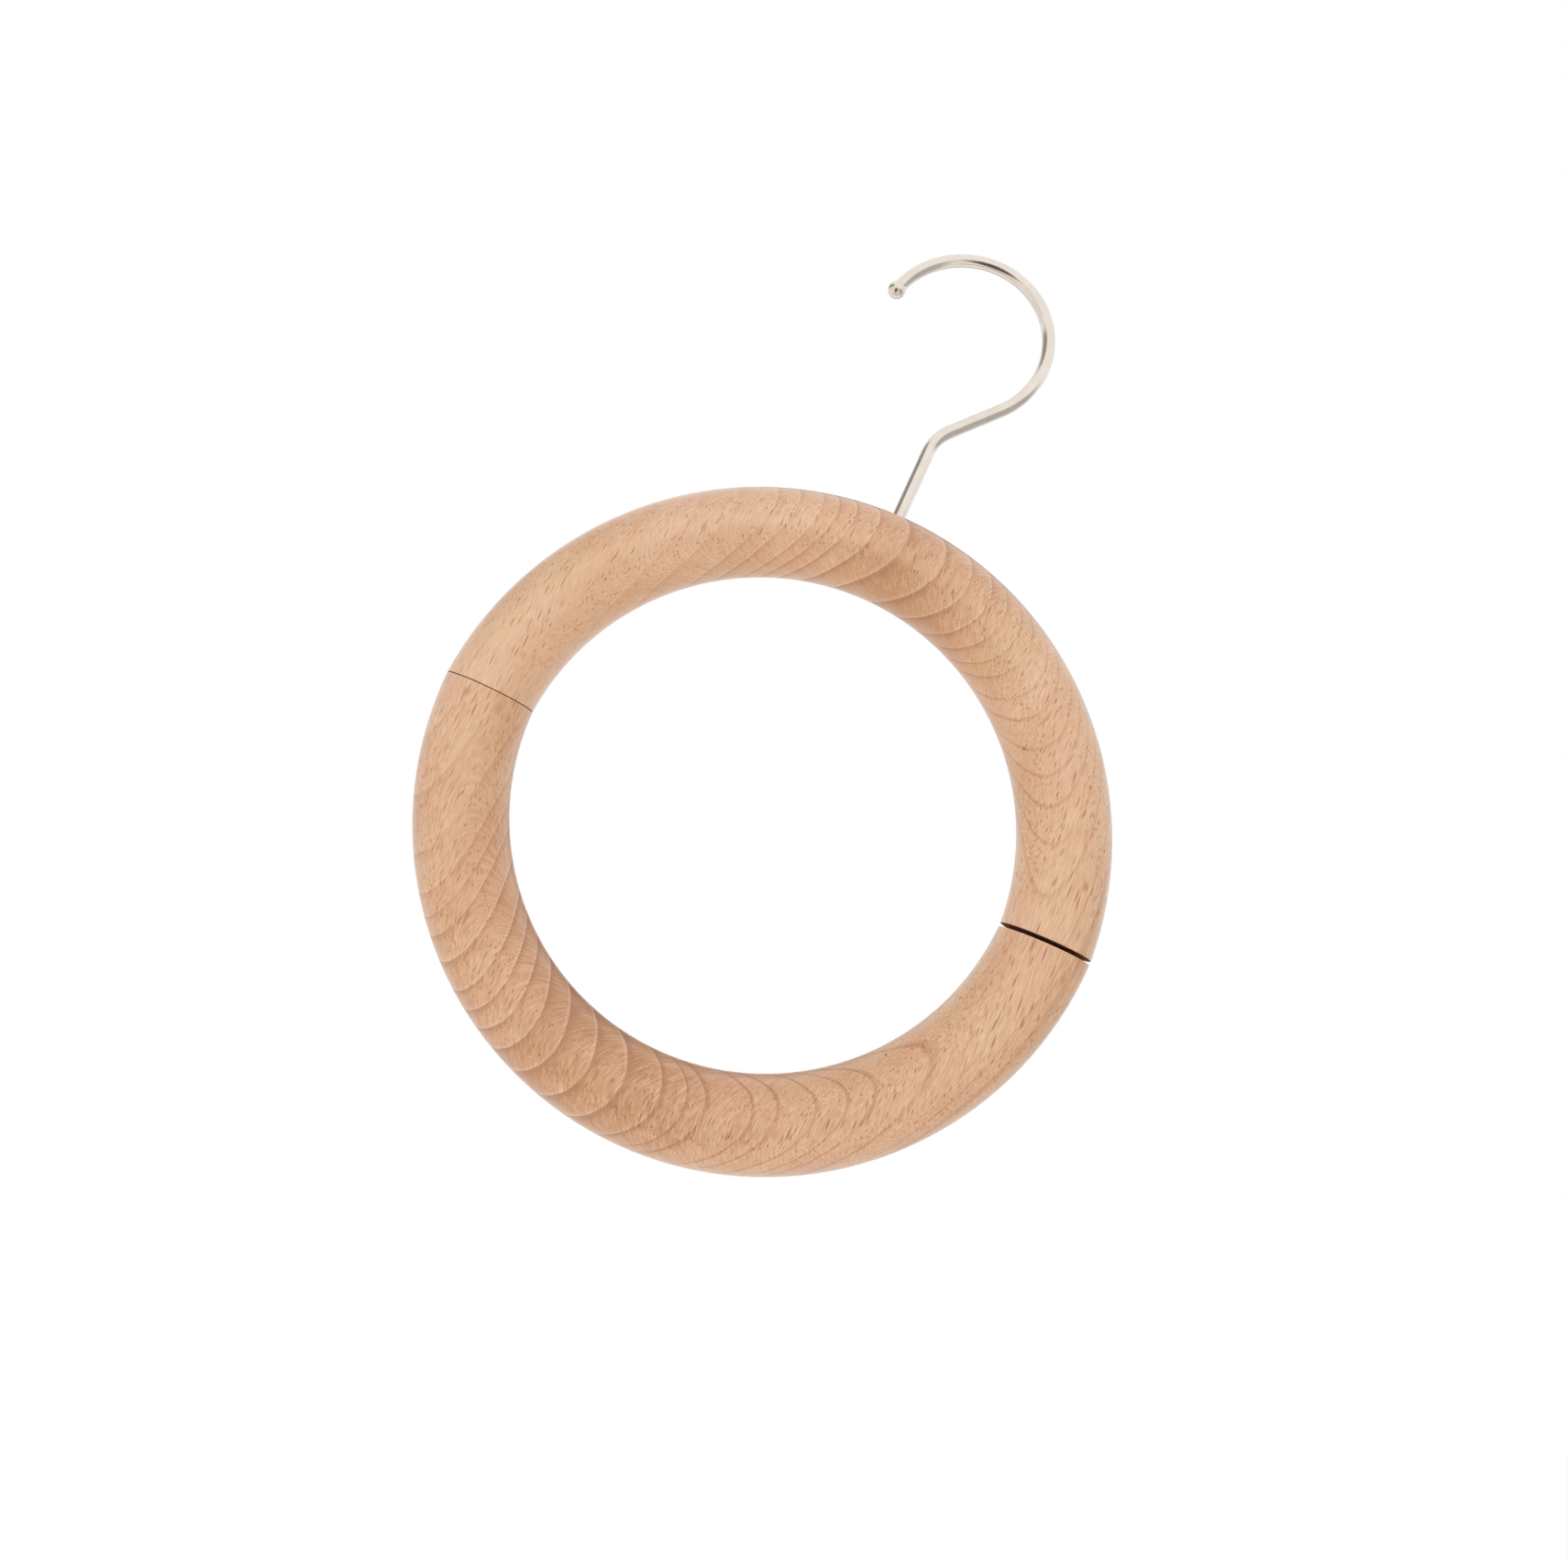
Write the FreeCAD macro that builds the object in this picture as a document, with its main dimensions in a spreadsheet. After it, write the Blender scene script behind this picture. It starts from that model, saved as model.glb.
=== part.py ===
import FreeCAD, Part
import math
import os

import Sketcher
from FreeCAD import Vector

# Scarf hanger: a turned beech ring, sawn into two halves, on a wire hook.
# The hook turns in the top of the ring, and the lower half swings open about an upright pin.
# Millimetres. +Z is the axis that the hook turns on, and the ring lies in the XZ plane.
# The origin is the point inside the loop, on that axis, where a rail carries the hanger.

# Driving dimensions, in millimetres and degrees
SIZES = {
    # Ring: turned whole, then sawn across
    "ring_outer_dia": 180,
    "tube_dia": 24,
    "saw_kerf": 5,
    "seam_edge_radius": 0.12,
    "pivot_seam_gap": 0.2,
    "catch_seam_gap": 1.1,
    # Hook: one length of round wire
    "wire_dia": 3.5,
    "loop_inner_dia": 43.3,
    "loop_offset": 4,
    "loop_rise": 55.5,
    "shank_angle": 42,
    "bend_radius": 12,
    "tip_angle": 166,
    "ball_dia": 4.9,
    "stem_bead_dia": 5,
    "stem_bead_length": 2,
    # Hook sleeve: split nylon insert in the top of the ring
    "hook_sleeve_dia": 7,
    "hook_sleeve_length": 14,
    "hook_sleeve_recess": 0.6,
    # Pivot pin: fixed in the upper half
    "pin_dia": 5,
    "pin_grip_length": 14,
    "pin_chamfer": 0.5,
    "pin_bead_dia": 6.6,
    "pin_bead_length": 2.4,
    # Pivot sleeve: split nylon insert in the lower half
    "pivot_sleeve_dia": 9.5,
    "pivot_sleeve_length": 15,
    # Both sleeves
    "sleeve_floor": 1.6,
    "sleeve_taper_length": 1.5,
    "sleeve_taper_depth": 0.4,
    "sleeve_slot": 0.8,
    "bead_lead_length": 1,
    # Catch magnets: one disc in each free end
    "magnet_dia": 8,
    "magnet_thickness": 4,
    "magnet_chamfer": 0.3,
    "magnet_recess": 0.3,
    # Fits
    "running_clearance": 0.05,
    "bead_play": 0.15,
    "glue_gap": 0.04,
    "bore_end_room": 0.3,
    "cut_overrun": 2,
}

doc = FreeCAD.newDocument("scarf_hanger")
dims = doc.addObject("Spreadsheet::Sheet", "dims")
for row, (alias, size) in enumerate(SIZES.items(), start=1):
    dims.set(f"A{row}", alias)
    dims.set(f"B{row}", str(size))
    dims.setAlias(f"B{row}", alias)
doc.recompute()

# Sizes and places that follow from the driving ones, as expressions
RING_OUTER_R = "(dims.ring_outer_dia / 2)"
TUBE_R = "(dims.tube_dia / 2)"
RING_R = f"({RING_OUTER_R} - {TUBE_R})"
TRIM = "(dims.saw_kerf / 2)"
SEAM_X = f"sqrt({RING_R}^2 - {TRIM}^2)"
SAW_REACH = f"({RING_OUTER_R} + dims.cut_overrun)"
CATCH_STEP = "(dims.catch_seam_gap - dims.pivot_seam_gap)"

WIRE_R = "(dims.wire_dia / 2)"
LOOP_R = f"(dims.loop_inner_dia / 2 + {WIRE_R})"
LOOP_X = "(-dims.loop_offset)"
LOOP_Z = "(-sqrt((dims.loop_inner_dia / 2)^2 - dims.loop_offset^2))"
LOOP_START_X = f"({LOOP_X} + {LOOP_R} * cos(dims.shank_angle))"
LOOP_START_Z = f"({LOOP_Z} - {LOOP_R} * sin(dims.shank_angle))"
TIP_X = f"({LOOP_X} + {LOOP_R} * cos(dims.tip_angle))"
TIP_Z = f"({LOOP_Z} + {LOOP_R} * sin(dims.tip_angle))"
CORNER_Z = f"({LOOP_START_Z} - {LOOP_START_X} / tan(dims.shank_angle))"
BEND_LENGTH = "(dims.bend_radius * tan(dims.shank_angle / 2))"

RING_TOP_Z = f"({LOOP_Z} - dims.loop_rise)"
UPPER_CENTRE_Z = f"({RING_TOP_Z} - {RING_OUTER_R})"
SEAM_Z = f"({UPPER_CENTRE_Z} + {TRIM})"
PIVOT_MOUTH_Z = f"({SEAM_Z} - dims.pivot_seam_gap)"
LOWER_CATCH_Z = f"({SEAM_Z} - dims.catch_seam_gap)"
LOWER_CENTRE_Z = f"({PIVOT_MOUTH_Z} + {TRIM})"
HOOK_MOUTH_Z = f"({RING_TOP_Z} - dims.hook_sleeve_recess)"

# Points of a line or arc in a sketch, and the sketch's own axes and origin, by their numbers there
START, END, CENTRE = range(1, 4)
V_AXIS, H_AXIS = range(-2, 0)
ORIGIN = (H_AXIS, START)
UP = Vector(0, 0, 1)


def now(expression):
    """Value of an expression at the present sizes."""
    return float(dims.evalExpression(expression))


def new_body(name, x="0", z="0"):
    """Empty sub-part whose own origin stands at x and z."""
    body = doc.addObject("PartDesign::Body", name)
    body.Label = name
    body.setExpression("Placement.Base.x", x)
    body.setExpression("Placement.Base.z", z)
    return body


def sketch_on(body, role, height="0"):
    """Empty sketch on one of the body's own planes, raised by height along the plane's normal."""
    sketch = body.newObject("Sketcher::SketchObject", body.Name + "_sketch")
    plane = next(item for item in body.Origin.OriginFeatures if item.Role == role)
    sketch.AttachmentSupport = (plane, [""])
    sketch.MapMode = "FlatFace"
    sketch.setExpression("AttachmentOffset.Base.z", height)
    return sketch


def fix(sketch, expression, kind, *where):
    """Dimension of a sketch, bound to an expression."""
    index = sketch.addConstraint(Sketcher.Constraint(kind, *where, now(expression)))
    sketch.setExpression(f"Constraints[{index}]", expression)


def place(sketch, geometry, point, x, y):
    """Holds one point of a line or arc at x and y."""
    for kind, axis, size in (("DistanceX", V_AXIS, x), ("DistanceY", H_AXIS, y)):
        if size == "0":
            sketch.addConstraint(Sketcher.Constraint("PointOnObject", geometry, point, axis))
        else:
            fix(sketch, size, kind, *ORIGIN, geometry, point)


def draw_circle(sketch, x, y, radius):
    """Circle about x and y."""
    circle = sketch.addGeometry(Part.Circle(Vector(now(x), now(y), 0), UP, now(radius)), False)
    place(sketch, circle, CENTRE, x, y)
    fix(sketch, radius, "Radius", circle)


def draw_outline(sketch, corners):
    """Closed outline of straight lines through corners, each an x and a y."""
    points = [Vector(now(x), now(y), 0) for x, y in corners]
    sides = zip(points, points[1:] + points[:1])
    lines = [sketch.addGeometry(Part.LineSegment(first, last), False) for first, last in sides]
    for line, following in zip(lines, lines[1:] + lines[:1]):
        sketch.addConstraint(Sketcher.Constraint("Coincident", line, END, following, START))
    for line, (x, y) in zip(lines, corners):
        place(sketch, line, START, x, y)


def turn(body, sketch):
    """Turned solid: the sketch taken once round its own upright axis."""
    solid = body.newObject("PartDesign::Revolution", body.Name + "_turned")
    solid.Profile = sketch
    solid.ReferenceAxis = (sketch, ["V_Axis"])
    solid.Angle = 360


def cut_through(body, sketch):
    """Cut that runs right through the body, both ways from the sketch."""
    cut = body.newObject("PartDesign::Pocket", body.Name + "_cut")
    cut.Profile = sketch
    cut.Type = "ThroughAll"
    cut.SideType = "Symmetric"


def drill(body, x, mouth_z, radius, depth, upward):
    """Flat-bottomed bore along Z, from its mouth into the body."""
    mouth = sketch_on(body, "XY_Plane", mouth_z)
    draw_circle(mouth, x, "0", radius)
    bore = body.newObject("PartDesign::Pocket", body.Name + "_bore")
    bore.Profile = mouth
    bore.Reversed = upward
    bore.setExpression("Length", depth)


def turned_ring(name, centre_z):
    """Whole ring, turned about Y."""
    body = new_body(name, z=centre_z)
    section = sketch_on(body, "XY_Plane")
    draw_circle(section, RING_R, "0", TUBE_R)
    turn(body, section)
    return body


def saw_off(body, cut_z, far_z):
    """Takes all of a ring away that lies between two heights."""
    waste = sketch_on(body, "XZ_Plane")
    draw_outline(waste, [
        (f"(-{SAW_REACH})", cut_z),
        (SAW_REACH, cut_z),
        (SAW_REACH, far_z),
        (f"(-{SAW_REACH})", far_z),
    ])
    cut_through(body, waste)


def shorten_right_end(body, end_z):
    """Cuts the right-hand end down to a lower height."""
    half_width = f"({TUBE_R} + dims.cut_overrun)"
    top_z = f"({end_z} + {CATCH_STEP} + dims.cut_overrun)"
    waste = sketch_on(body, "YZ_Plane")
    draw_outline(waste, [
        (f"(-{half_width})", end_z),
        (half_width, end_z),
        (half_width, top_z),
        (f"(-{half_width})", top_z),
    ])
    cut = body.newObject("PartDesign::Pocket", body.Name + "_shortened")
    cut.Profile = waste
    cut.Reversed = True
    cut.setExpression("Length", SAW_REACH)


def ease_rims(body):
    """Rounds the rims of every face that isn't part of the turned tube."""
    doc.recompute()
    sawn = body.Tip
    ends = [face for face in sawn.Shape.Faces if not isinstance(face.Surface, Part.Toroid)]
    rims = [edge for face in ends for edge in face.Edges]
    names = [
        f"Edge{number}"
        for number, edge in enumerate(sawn.Shape.Edges, start=1)
        if any(edge.isSame(rim) for rim in rims)
    ]
    eased = body.newObject("PartDesign::Fillet", body.Name + "_eased")
    eased.Base = (sawn, names)
    eased.setExpression("Radius", "dims.seam_edge_radius")


# Snap joint: a beaded foot in a split sleeve, both measured down from the sleeve's mouth
def cavity_floor(sleeve):
    """Height of the cavity's floor in a sleeve."""
    return f"(dims.sleeve_floor - dims.{sleeve}_length)"


def foot_corners(bead, sleeve, stem_r, mouth_z):
    """Corners of a foot's half section, from the bead's top down to the axis."""
    end = f"({mouth_z} + {cavity_floor(sleeve)} + dims.bead_play)"
    bead_bottom = f"({end} + dims.bead_lead_length)"
    bead_top = f"({bead_bottom} + dims.{bead}_length)"
    bead_r = f"(dims.{bead}_dia / 2)"
    return [(stem_r, bead_top), (bead_r, bead_top), (bead_r, bead_bottom), (stem_r, end), ("0", end)]


def snap_sleeve(name, bead, stem_r, x, mouth_z):
    """Split sleeve: a bore for the stem over a cavity for the bead, slotted from the mouth down."""
    body = new_body(name, x, mouth_z)
    outer_r = f"(dims.{name}_dia / 2)"
    taper_r = f"({outer_r} - dims.sleeve_taper_depth)"
    bore_r = f"({stem_r} + dims.running_clearance)"
    cavity_r = f"(dims.{bead}_dia / 2 + dims.running_clearance)"
    bottom = f"(-dims.{name}_length)"
    taper_z = f"({bottom} + dims.sleeve_taper_length)"
    floor = cavity_floor(name)
    ceiling = f"({floor} + dims.bead_lead_length + dims.{bead}_length + 2 * dims.bead_play)"
    section = sketch_on(body, "XZ_Plane")
    draw_outline(section, [
        (bore_r, "0"),
        (outer_r, "0"),
        (outer_r, taper_z),
        (taper_r, bottom),
        ("0", bottom),
        ("0", floor),
        (cavity_r, floor),
        (cavity_r, ceiling),
        (bore_r, ceiling),
    ])
    turn(body, section)
    slot = sketch_on(body, "XZ_Plane")
    half_slot = "(dims.sleeve_slot / 2)"
    draw_outline(slot, [
        (f"(-{half_slot})", "dims.cut_overrun"),
        (f"(-{half_slot})", floor),
        (half_slot, floor),
        (half_slot, "dims.cut_overrun"),
    ])
    cut_through(body, slot)
    return body


# Upper ring half: bored for the hook's sleeve at the top, the pin on the left, a magnet on the right.
GLUED_HOOK_SLEEVE_R = "(dims.hook_sleeve_dia / 2 + dims.glue_gap)"
HOOK_BORE_LENGTH = "(dims.hook_sleeve_recess + dims.hook_sleeve_length + dims.bore_end_room)"
HOOK_BORE_DEPTH = f"(dims.cut_overrun + {HOOK_BORE_LENGTH})"
PIN_R = "(dims.pin_dia / 2)"
MAGNET_BORE_R = "(dims.magnet_dia / 2 + dims.glue_gap)"
MAGNET_BORE_DEPTH = "(dims.magnet_recess + dims.magnet_thickness + dims.bore_end_room)"

upper_ring_half = turned_ring("upper_ring_half", UPPER_CENTRE_Z)
saw_off(upper_ring_half, TRIM, f"(-{SAW_REACH})")
ease_rims(upper_ring_half)
drill(upper_ring_half, "0", SAW_REACH, GLUED_HOOK_SLEEVE_R, HOOK_BORE_DEPTH, upward=False)
drill(
    upper_ring_half,
    f"(-{SEAM_X})",
    TRIM,
    f"({PIN_R} + dims.glue_gap)",
    "(dims.pin_grip_length + dims.bore_end_room)",
    upward=True,
)
drill(upper_ring_half, SEAM_X, TRIM, MAGNET_BORE_R, MAGNET_BORE_DEPTH, upward=True)

# Lower ring half: bored for the pin's sleeve on the left and a magnet on the right.
# Its free end is cut a little shorter, so that it swings past the upper one without catching.
LOWER_END_Z = f"(-{TRIM} - {CATCH_STEP})"

lower_ring_half = turned_ring("lower_ring_half", LOWER_CENTRE_Z)
saw_off(lower_ring_half, f"(-{TRIM})", SAW_REACH)
shorten_right_end(lower_ring_half, LOWER_END_Z)
ease_rims(lower_ring_half)
drill(
    lower_ring_half,
    f"(-{SEAM_X})",
    f"(-{TRIM})",
    "(dims.pivot_sleeve_dia / 2 + dims.glue_gap)",
    "(dims.pivot_sleeve_length + dims.bore_end_room)",
    upward=False,
)
drill(lower_ring_half, SEAM_X, LOWER_END_Z, MAGNET_BORE_R, MAGNET_BORE_DEPTH, upward=False)

# Hook: the wire runs up the stem, round the bend, along the shank and over the loop to the ball tip
hook = new_body("hook")
foot = foot_corners("stem_bead", "hook_sleeve", WIRE_R, HOOK_MOUTH_Z)
bead_top_z = foot[0][1]
bead_bottom_z = foot[2][1]

bends = sketch_on(hook, "XZ_Plane")
stem_top = Vector(0, now(f"{CORNER_Z} - {BEND_LENGTH}"), 0)
bend_centre = stem_top + Vector(now("dims.bend_radius"), 0, 0)
loop_centre = Vector(now(LOOP_X), now(LOOP_Z), 0)
loop_start = Vector(now(LOOP_START_X), now(LOOP_START_Z), 0)
shank_turn = math.radians(now("dims.shank_angle"))
tip_turn = math.radians(now("dims.tip_angle"))
bend_circle = Part.Circle(bend_centre, UP, now("dims.bend_radius"))
loop_circle = Part.Circle(loop_centre, UP, now(LOOP_R))
bend_arc = Part.ArcOfCircle(bend_circle, math.pi - shank_turn, math.pi)
loop_arc = Part.ArcOfCircle(loop_circle, -shank_turn, tip_turn)

stem = bends.addGeometry(Part.LineSegment(Vector(0, now(bead_bottom_z), 0), stem_top), False)
bend = bends.addGeometry(bend_arc, False)
shank = bends.addGeometry(Part.LineSegment(bend_arc.StartPoint, loop_start), False)
loop = bends.addGeometry(loop_arc, False)
place(bends, stem, START, "0", bead_bottom_z)
bends.addConstraint(Sketcher.Constraint("PointOnObject", stem, END, V_AXIS))
bends.addConstraint(Sketcher.Constraint("Tangent", stem, END, bend, END))
bends.addConstraint(Sketcher.Constraint("Tangent", bend, START, shank, START))
bends.addConstraint(Sketcher.Constraint("Tangent", shank, END, loop, START))
place(bends, loop, CENTRE, LOOP_X, LOOP_Z)
fix(bends, "dims.bend_radius", "Radius", bend)
fix(bends, LOOP_R, "Radius", loop)
fix(bends, LOOP_START_X, "DistanceX", *ORIGIN, loop, START)
fix(bends, TIP_Z, "DistanceY", *ORIGIN, loop, END)

wire_section = sketch_on(hook, "XY_Plane", bead_bottom_z)
draw_circle(wire_section, "0", "0", WIRE_R)
wire = hook.newObject("PartDesign::AdditivePipe", "hook_wire")
wire.Profile = wire_section
wire.Spine = bends

ball = hook.newObject("PartDesign::AdditiveSphere", "hook_ball")
ball.setExpression("Radius", "dims.ball_dia / 2")
ball.setExpression("Placement.Base.x", TIP_X)
ball.setExpression("Placement.Base.z", TIP_Z)

foot_section = sketch_on(hook, "XZ_Plane")
draw_outline(foot_section, [("0", bead_top_z)] + foot[1:])
turn(hook, foot_section)

hook_sleeve = snap_sleeve("hook_sleeve", "stem_bead", WIRE_R, "0", HOOK_MOUTH_Z)

# Pivot pin: a plain grip in the upper half and a beaded foot in the lower half's sleeve
pivot_pin = new_body("pivot_pin", f"(-{SEAM_X})", PIVOT_MOUTH_Z)
grip_top_z = "(dims.pivot_seam_gap + dims.pin_grip_length)"
pin_section = sketch_on(pivot_pin, "XZ_Plane")
draw_outline(pin_section, [
    ("0", grip_top_z),
    (f"({PIN_R} - dims.pin_chamfer)", grip_top_z),
    (PIN_R, f"({grip_top_z} - dims.pin_chamfer)"),
] + foot_corners("pin_bead", "pivot_sleeve", PIN_R, "0"))
turn(pivot_pin, pin_section)

pivot_sleeve = snap_sleeve("pivot_sleeve", "pin_bead", PIN_R, f"(-{SEAM_X})", PIVOT_MOUTH_Z)


# Catch magnets: ferrite discs, sunk a little below the faces of the free ends
def magnet(name, bottom_z):
    """Disc with its edges chamfered."""
    body = new_body(name, SEAM_X, bottom_z)
    face_r = "(dims.magnet_dia / 2 - dims.magnet_chamfer)"
    section = sketch_on(body, "XZ_Plane")
    draw_outline(section, [
        ("0", "0"),
        (face_r, "0"),
        ("(dims.magnet_dia / 2)", "dims.magnet_chamfer"),
        ("(dims.magnet_dia / 2)", "(dims.magnet_thickness - dims.magnet_chamfer)"),
        (face_r, "dims.magnet_thickness"),
        ("0", "dims.magnet_thickness"),
    ])
    turn(body, section)
    return body


upper_magnet = magnet("upper_magnet", f"({SEAM_Z} + dims.magnet_recess)")
lower_magnet = magnet("lower_magnet", f"({LOWER_CATCH_Z} - dims.magnet_recess - dims.magnet_thickness)")

# Every sub-part has to be one sound solid before any file is written
doc.recompute()
for item in doc.Objects:
    if "Invalid" in item.State or "Error" in item.State:
        raise RuntimeError(f"{item.Label} failed: {item.State}")
bodies = [item for item in doc.Objects if item.TypeId == "PartDesign::Body"]
for body in bodies:
    if body.Shape.isNull() or not body.Shape.isValid() or len(body.Shape.Solids) != 1:
        raise RuntimeError(f"{body.Label} is not one sound solid")

os.makedirs("parts", exist_ok=True)
for body in bodies:
    body.Shape.exportStep(f"parts/{body.Label}.step")
    box = body.Shape.BoundBox
    print(f"{body.Label}: volume {body.Shape.Volume:.1f}, z {box.ZMin:.2f} to {box.ZMax:.2f}")
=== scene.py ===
import math

import bpy
from mathutils import Matrix, Vector

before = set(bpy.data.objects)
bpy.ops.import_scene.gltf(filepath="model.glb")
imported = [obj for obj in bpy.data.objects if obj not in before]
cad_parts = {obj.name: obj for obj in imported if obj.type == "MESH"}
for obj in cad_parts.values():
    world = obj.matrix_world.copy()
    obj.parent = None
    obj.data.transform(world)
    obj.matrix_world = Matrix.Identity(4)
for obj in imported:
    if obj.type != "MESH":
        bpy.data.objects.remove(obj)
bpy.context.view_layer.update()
bpy.ops.object.select_all(action="DESELECT")


# Upper ring half: the upper half of a ring turned from one beech board, sawn across.
# It is fine sanded, has a thin clear matt lacquer, and carries the hook in its top.

MM = 0.001


def linear(code):
    """A colour written as an sRGB hex code, as the linear colour that a shader takes."""
    parts = [int(code[i:i + 2], 16) / 255 for i in (1, 3, 5)]
    return [p / 12.92 if p <= 0.04045 else ((p + 0.055) / 1.055) ** 2.4 for p in parts] + [1.0]


def add(tree, kind, sockets=(), stops=(), **settings):
    """A new node with its settings, with values or links on its sockets, and with its ramp's stops.

    The sockets are a list in the node's own order, or a dict by name or number.
    A stop is a place from 0 to 1 and a grey or a colour.
    """
    made = tree.nodes.new("ShaderNode" + kind)
    for name, value in settings.items():
        setattr(made, name, value)
    pairs = sockets.items() if isinstance(sockets, dict) else enumerate(sockets)
    for socket, value in pairs:
        if isinstance(value, bpy.types.NodeSocket):
            tree.links.new(value, made.inputs[socket])
        else:
            made.inputs[socket].default_value = value
    for _ in stops[2:]:             # a new ramp has two stops already
        made.color_ramp.elements.new(1.0)
    for i, (at, value) in enumerate(stops):
        made.color_ramp.elements[i].position = at
        made.color_ramp.elements[i].color = value if isinstance(value, list) else [value] * 3 + [1.0]
    return made


# Beech, turned and lacquered: pale pinkish brown wood. Near the heart each year of growth shows as a
# thin dark line, and further out it starts pale and ends dark, so that the tube has scalloped bands.
# Rays show as fine ribs and pores as dark dashes. Where the tube cuts across the fibres it is darker,
# and the sawn ends are darkened brown with painted shade for the narrow gap between the halves.
# Four numbers in a row below are a range and its two results.

# The trunk that the board came from, whose heart line stands behind the ring and to the right
HEART_BEHIND = 112.1                            # mm from the ring's plane
HEART = (142.3 * MM, HEART_BEHIND * MM, -164.3 * MM)
HEART_LEAN = math.radians(12.6)                 # the layers lean to the right
NEAREST_WOOD = 120.0                            # mm from the heart
FURTHEST_WOOD = 262.0
WOOD_DEPTH = FURTHEST_WOOD - NEAREST_WOOD

# Year layers, by how late in the year their wood grew
WAVE = 22.0                                     # mm
WAVE_ALONG = (1, 1, 0.4)                        # the waves are drawn out along the trunk
SWAY = (2.2, -1.1)                              # mm of a wave from its low to its high, and its low
LINE = [(0.0, 0.48), (0.08, 0.43), (0.83, 0.43), (0.91, 0.85), (0.96, 1.0), (1.0, 0.75)]
SCALLOP = [(0.0, 0.12), (0.06, 0.15), (0.14, 0.38), (0.5, 0.45), (0.75, 0.58), (0.93, 0.95), (1.0, 1.0)]
LINE_TO_SCALLOP = (158.0, 174.0)                # mm from the heart
MID_YEAR = 0.45                                 # wood that keeps its tone
LATE_TONE = -0.75                               # what late wood does to the tone
BANDS_ACROSS = (1.1, 0.6)                       # strength of the bands: gain by a cut across, and least
TONE_ACROSS = -0.18                             # what a cut across the fibres does to the tone

# Rays, in mm towards the heart, round it and along the trunk
NOISE_MIDDLE = 0.5
RIB = (9.0, 0.36, 2.4)
RIB_WANDER = 0.8                                # mm
RIB_LYING = (0.7, 0.97, 1.0, 0.4)               # they fade where they lie in the surface
RIB_BY_DEPTH = (140.0, 165.0, 0.3, 1.0)         # mm from the heart

# Fibres, in mm across them, twice, and along them, drawn much coarser than real ones so that they show
FIBRE = (0.3, 0.3, 5.0)
FIBRE_BY_DEPTH = (140.0, 170.0, 0.9, 0.25)      # mm from the heart

# Mottling
MOTTLE = 12.0                                   # mm
MOTTLE_TONE = 0.4
MOTTLE_HUE = (0.3, 0.7, 0.496, 0.504)

# Pores, in mm across the fibres, twice, and along them, drawn a few times too wide so that they show
PORE = (0.42, 0.42, 6.5)
PORE_BEND = 1.5                                 # mm
PORE_BY_DEPTH = (140.0, 250.0, 0.9, 0.98)       # mm from the heart, and how fine they are
NEEDLE = (0.18, 0.38, 1.0, 0.0)                 # from the middle of a pore to its edge
THREAD = (12.0, 1.6, 40.0)                      # mm towards the heart, round it and along the trunk
THREAD_LUCK = 0.8                               # how much a thread adds to a pore's own chance
PORES_KEPT = (0.72, 1.35)                       # luck at which a pore begins to show, and shows fully
PORES_ACROSS = (0.35, 0.9, 1.0, 0.4)            # they close where they are cut across

# Pin knots and sawn ends
KNOTS = ((53.6 * MM, -8.3 * MM, -122.8 * MM), (51.6 * MM, -5.9 * MM, -205.6 * MM))
KNOT = (0.25 * MM, 0.55 * MM, 1.0, 0.0)         # from the middle of a knot to its edge
SAW_CUT = -164.8 * MM                           # height of the seams
SAW_REACH = 0.8 * MM                            # the sawn faces lie within this of it
SAWN_LEVEL = 0.97                               # and face up or down at least so far

# Colours, lacquer and relief
WOOD = [(0.0, linear("#B57E56")), (0.35, linear("#CE996F")), (0.65, linear("#DFB18A")),
        (1.0, linear("#EDCAA8"))]
PORE_BROWN = linear("#A4541C")
# Painted shade: a brown laid over the sawn ends, which lie in the narrow gap between the halves
GAP_SHADE_BROWN = linear("#D0B69A")
LACQUER_IOR = 1.5
LACQUER_ROUGHNESS = (0.4, 0.55)
COAT_ROUGHNESS = 0.3
PORE_SINK = -0.3
RELIEF = 0.06 * MM
RELIEF_STRENGTH = 0.25


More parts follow.
